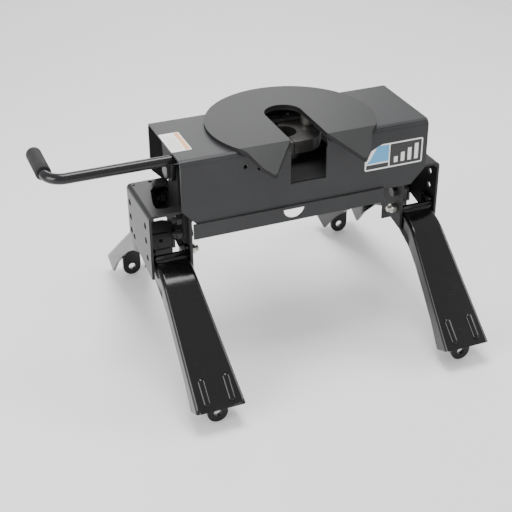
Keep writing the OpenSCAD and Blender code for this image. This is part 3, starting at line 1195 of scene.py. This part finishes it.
@dataclass
class Labels(Assembly):
    """The two printed labels, with plain shapes in place of print."""

    body: str = "head"

    def strip(self, points: Sequence[tuple[float, float]], lift: float, finish: Finish,
              upright: bool, origin: Vector) -> bpy.types.Object:
        """One printed area as a thin film.

        Args:
            points: Its outline on the label, in metres.
            lift: How far it stands off, in metres.
            finish: Its ink.
            upright: Whether the label is on the front wall.
            origin: The label's corner.

        Returns:
            The film.
        """
        bpy.ops.mesh.primitive_circle_add(vertices=len(points), fill_type="NGON")
        piece = bpy.context.object
        for vert, (u, v) in zip(piece.data.vertices, points):
            vert.co = (u, v, 0)
        face_outwards(piece)
        with bench(piece, everything=True):
            push(0, 0, lift)
        face_outwards(piece)
        if upright:
            piece.rotation_euler = Euler((math.pi / 2, 0, 0))
        piece.location = origin
        settle(piece)
        dress(piece, finish)
        return piece

    @staticmethod
    def rounded(u0: float, v0: float, u1: float, v1: float, r: float,
                cut: float = 0.0) -> list[tuple[float, float]]:
        """A rectangle with round corners.

        Args:
            u0: Left.
            v0: Bottom.
            u1: Right.
            v1: Top.
            r: Corner radius.
            cut: How far the top left corner is cut away along both sides.

        Returns:
            The outline's points.
        """
        points: list[tuple[float, float]] = []
        for cu, cv, start in ((u1 - r, v1 - r, 0), (u0 + r, v1 - r, 90),
                              (u0 + r, v0 + r, 180), (u1 - r, v0 + r, 270)):
            if cut and start == 90:
                points += [(u0 + cut * 1.5, v1), (u0 + cut * 0.6, v1 - cut * 0.4),
                           (u0, v1 - cut)]
                continue
            for step in range(5):
                a = math.radians(start + step * 22.5)
                points.append((cu + r * math.cos(a), cv + r * math.sin(a)))
        return points

    def rating(self) -> None:
        """Front label: white border, black field, blue wedge and plain bars."""
        low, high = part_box("rating_label")
        origin = Vector((low.x, high.y, low.z))
        w, h = high.x - low.x, high.z - low.z
        t = high.y - low.y
        edge = 3 * MM
        split = w * 0.43
        films = [
            self.strip(self.rounded(0, 0, w, h, 4 * MM, 24 * MM), t * 0.5,
                       Finish.LABEL_WHITE, True, origin),
            self.strip(self.rounded(split, edge, w - edge, h - edge, 2 * MM), t * 0.75,
                       Finish.LABEL_BLACK, True, origin),
            self.strip([(edge, edge + 12 * MM), (split - edge, edge + 12 * MM),
                        (split - edge, h - edge), (26 * MM, h - edge),
                        (edge + 8 * MM, edge + 19 * MM)], t * 0.75,
                       Finish.LABEL_BLUE, True, origin),
            self.strip(self.rounded(edge, edge, split - edge, edge + 9 * MM, 1 * MM),
                       t * 0.75, Finish.LABEL_BLACK, True, origin)]
        start = split + 9 * MM
        step = (w - edge - start) / 4
        for index in range(4):
            u = start + index * step
            top = edge + (h - 2 * edge) * (0.40 + 0.15 * index)
            films.append(self.strip(
                self.rounded(u, edge + 6 * MM, u + step * 0.55, top, 1.2 * MM), t,
                Finish.LABEL_WHITE, True, origin))
        self.finish_label(films, "front_label", "rating_label", "label_black")

    def warning(self) -> None:
        """Top label: white with an orange band and plain grey lines."""
        low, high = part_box("warning_label")
        origin = Vector((low.x, low.y, low.z))
        w, h, t = high.x - low.x, high.y - low.y, high.z - low.z
        films = [self.strip(self.rounded(0, 0, w, h, 2.5 * MM), t * 0.5,
                            Finish.LABEL_WHITE, False, origin),
                 self.strip(self.rounded(w * 0.72, 2 * MM, w - 2 * MM, h - 2 * MM,
                                         1.5 * MM), t * 0.8, Finish.LABEL_ORANGE,
                            False, origin)]
        for index in range(5):
            u = w * (0.12 + 0.11 * index)
            films.append(self.strip(self.rounded(u, 8 * MM, u + 1.3 * MM, h - 8 * MM
                                                 - 9 * MM * (index % 2), 0.5 * MM),
                                    t * 0.8, Finish.LABEL_GREY, False, origin))
        self.finish_label(films, "top_label", "warning_label", "label_white")

    def finish_label(self, films: Sequence[bpy.types.Object], name: str, node: str,
                     slot: str) -> None:
        """Join a label's films, keeping each one's ink.

        Args:
            films: The films.
            name: The piece's name.
            node: The CAD node that it stands for.
            slot: The record's material slot; not used.
        """
        piece = weld_together(films, name)
        soften(piece, 30.0)
        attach(piece, self.body)
        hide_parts(node)
        log.info("%s: %d inks", name, len(piece.data.materials))

    def build(self) -> None:
        """Make both labels."""
        self.rating()
        self.warning()


# ---------------------------------------------------------------- lock and handle


@dataclass
class Jaws(Assembly):
    """The two jaws and their cam pins."""

    body: str = "jaw_left"

    def build(self) -> None:
        """Make a jaw and a pin on each side."""
        for side in Side:
            tag = side.name.lower()
            self.from_cad(f"jaw_{tag}", f"cut_jaw_{tag}", 1.2, [Finish.STEEL],
                          "jaw_steel", 30.0, f"jaw_{tag}")
            self.from_cad(f"cam_pin_{tag}", f"round_cam_pin_{tag}", 0.4, [Finish.ZINC],
                          "zinc", 30.0, f"jaw_{tag}")


@dataclass
class Handle(Assembly):
    """The rod, its grip, and the slide that it pulls."""

    body: str = "handle"
    rod_r: float = 10 * MM
    bend_r: float = 32 * MM

    def rod(self) -> None:
        """A round rod with one smooth bend, drawn from its inner end outwards."""
        low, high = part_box("handle_rod")
        r = self.rod_r
        axis_y = low.y + r
        level = (low.z + high.z) / 2
        turn = Vector((low.x + r + self.bend_r, axis_y + self.bend_r, level))
        piece = disc("bent_rod", 40, r, (high.x, axis_y, level), (0, math.pi / 2, 0))
        with bench(piece, everything=True):
            for share in (0.004, 0.2, 0.2, 0.2, 0.2, 0.196):
                push((turn.x - high.x) * share, 0, 0)
            bpy.ops.mesh.spin(steps=18, angle=math.pi / 2, center=turn, axis=(0, 0, 1))
            push(0, high.y - turn.y, 0)
        face_outwards(piece)
        round_edges(piece, 0.8 * MM, 2, 60.0)
        self.keep(piece, [Finish.ROD], "leg_gloss", "handle_rod", 40.0)

    def grip(self) -> None:
        """A moulded grip with a collar, shallow rings and a domed end."""
        low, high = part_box("handle_grip")
        r = (high.x - low.x) / 2
        axis = Vector(((low.x + high.x) / 2, low.y, (low.z + high.z) / 2))
        size = r - 2.2 * MM
        piece = disc("moulded_grip", 56, size, axis, (math.pi / 2, 0, 0))
        length = high.y - low.y
        sections = [(1.2, r - 0.8 * MM), (1.2, r), (4.0, r), (1.2, r - 1.0 * MM)]
        sections += [(2.0, r - 1.0 * MM), (1.0, r - 0.1 * MM)]
        straight = length / MM - 8.0 - sum(s[0] for s in sections)
        sections += [(straight / 8, r - 0.1 * MM)] * 8
        sections += [(8.0 * (math.sin(math.radians(a)) - math.sin(math.radians(a - 15))),
                      r - 8 * MM * (1 - math.cos(math.radians(a))) - 0.1 * MM)
                     for a in range(15, 91, 15)]
        with bench(piece, everything=True):
            for step, radius in sections:
                push(0, step * MM, 0)
                bpy.ops.transform.resize(value=(radius / size, 1, radius / size))
                size = radius
            bpy.ops.mesh.inset(thickness=size * 0.5)
        face_outwards(piece)
        self.keep(piece, [GripRubber(axis)], "grip_rubber", "handle_grip", 50.0)

    def spring(self) -> None:
        """A wound tension spring with a hook at each end."""
        low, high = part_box("return_spring")
        outer = (high.z - low.z) / 2
        wire = 0.8 * MM
        coil = outer - wire
        length = high.x - low.x
        turns = 26
        piece = disc("wound_spring", 8, wire, (0, coil, 0), (0, 0, 0), "NOTHING")
        hook = 2.2 * coil
        add_modifier(piece, "SCREW", axis="X", angle=2 * math.pi, steps=18,
                     render_steps=18, iterations=turns,
                     screw_offset=(length - 2 * hook) / turns, use_normal_calculate=True)
        centre = Vector((low.x, (low.y + high.y) / 2, (low.z + high.z) / 2))
        piece.location = centre + Vector((hook, 0, 0))
        settle(piece)
        with bench(piece):
            bpy.ops.mesh.select_mode(type="EDGE")
            bpy.ops.mesh.select_non_manifold()
            bpy.ops.mesh.fill_holes(sides=0)
        face_outwards(piece)
        loops = [self.hook(centre + Vector((x, 0, 0)), coil, wire)
                 for x in (coil + wire, length - coil - wire)]
        piece = weld_together([piece, *loops], "wound_spring")
        ends = [(low.x + 2 * coil, centre.y, centre.z),
                (high.x - 2 * coil, centre.y, centre.z)]
        self.keep(piece, [Finish.ZINC], "zinc", "return_spring", 60.0,
                  stretch=("handle", "head", *ends))

    @staticmethod
    def hook(centre: Vector, radius: float, wire: float) -> bpy.types.Object:
        """A round end loop of the spring's wire.

        Args:
            centre: The loop's middle.
            radius: The coil's radius.
            wire: The wire's radius.

        Returns:
            The loop.
        """
        bpy.ops.mesh.primitive_torus_add(major_radius=radius, minor_radius=wire,
                                         major_segments=24, minor_segments=8,
                                         location=centre)
        piece = bpy.context.object
        settle(piece)
        return piece

    def build(self) -> None:
        """Make everything."""
        self.rod()
        self.grip()
        self.spring()
        for node, name in (("lock_slide", "cam_slide"), ("rod_saddle", "welded_saddle")):
            self.from_cad(node, name, 0.6, [Finish.STEEL], "jaw_steel", 30.0)


# ---------------------------------------------------------------- studio


@dataclass(frozen=True)
class Studio:
    """A pale floor, soft lights and the camera."""

    azimuth: float = -21.60
    elevation: float = 30.83
    roll: float = -0.40
    distance: float = 2.19265
    offset: tuple[float, float] = (0.06128, 0.11124)
    target: tuple[float, float, float] = (0.0, 0.0, 0.270)
    focal: float = 77.19
    sensor: float = 36.0
    floor_size: float = 14.0
    daylight: float = 0.85
    lamps: tuple[tuple[str, tuple[float, float, float], float, float], ...] = (
        ("key", (-2.3, -0.7, 1.1), 1.5, 52.0), ("overhead", (0.0, 0.15, 2.5), 1.1, 52.0),
        ("fill", (2.3, -0.5, 1.5), 1.0, 24.0), ("rim", (0.6, 2.4, 1.6), 1.4, 18.0))

    def camera(self) -> None:
        """The camera, tailgate side, from the driver's corner."""
        a, e, r = (math.radians(v) for v in (self.azimuth, self.elevation, self.roll))
        back = Vector((math.sin(a) * math.cos(e), -math.cos(a) * math.cos(e),
                       math.sin(e)))
        right = Vector((math.cos(a), math.sin(a), 0))
        up = back.cross(right)
        level = math.cos(r) * right + math.sin(r) * up
        top = math.cos(r) * up - math.sin(r) * right
        data = bpy.data.cameras.new("camera")
        data.lens = self.focal
        data.sensor_width = self.sensor
        camera = bpy.data.objects.new("camera", data)
        bpy.context.scene.collection.objects.link(camera)
        place = (Vector(self.target) + back * self.distance - level * self.offset[0]
                 - top * self.offset[1])
        turn = Matrix((level, top, back)).transposed().to_4x4()
        camera.matrix_world = Matrix.Translation(place) @ turn
        bpy.context.scene.camera = camera

    def lamp(self, name: str, place: Sequence[float], size: float, power: float) -> None:
        """A square soft light aimed at the hitch.

        Args:
            name: The lamp's name.
            place: Where it is, in metres.
            size: Its sides' length, in metres.
            power: Its power in watts.
        """
        data = bpy.data.lights.new(name, "AREA")
        data.shape = "SQUARE"
        data.size = size
        data.energy = power
        lamp = bpy.data.objects.new(name, data)
        bpy.context.scene.collection.objects.link(lamp)
        lamp.location = place
        aim = Vector(self.target) - Vector(place)
        lamp.rotation_euler = aim.to_track_quat("-Z", "Y").to_euler()

    def build(self) -> None:
        """Make the camera, floor, world and lights."""
        self.camera()
        bpy.ops.mesh.primitive_plane_add(size=self.floor_size, location=(0, 0, -0.0005))
        floor = bpy.context.object
        floor.name = "floor"
        graph = Graph("pale_floor")
        speck = graph.noise(graph.place(), 3.0, 2.0)
        floor.data.materials.append(graph.finish(
            Base_Color=graph.mix(speck, (0.86, 0.86, 0.86), (0.90, 0.90, 0.90)),
            Roughness=0.9))
        world = bpy.data.worlds.new("studio")
        world.use_nodes = True
        light = world.node_tree.nodes["Background"].inputs
        light["Color"].default_value = (1, 1, 1, 1)
        light["Strength"].default_value = self.daylight
        bpy.context.scene.world = world
        for lamp in self.lamps:
            self.lamp(*lamp)


def main() -> None:
    """Build the studio and every sub-assembly."""
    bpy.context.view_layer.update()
    Studio().build()
    for part in (Leg(), Stand(), Head(), Labels(), Jaws(), Handle()):
        log.info("building %s", type(part).__name__)
        part.build()


if __name__ == "__main__":
    main()
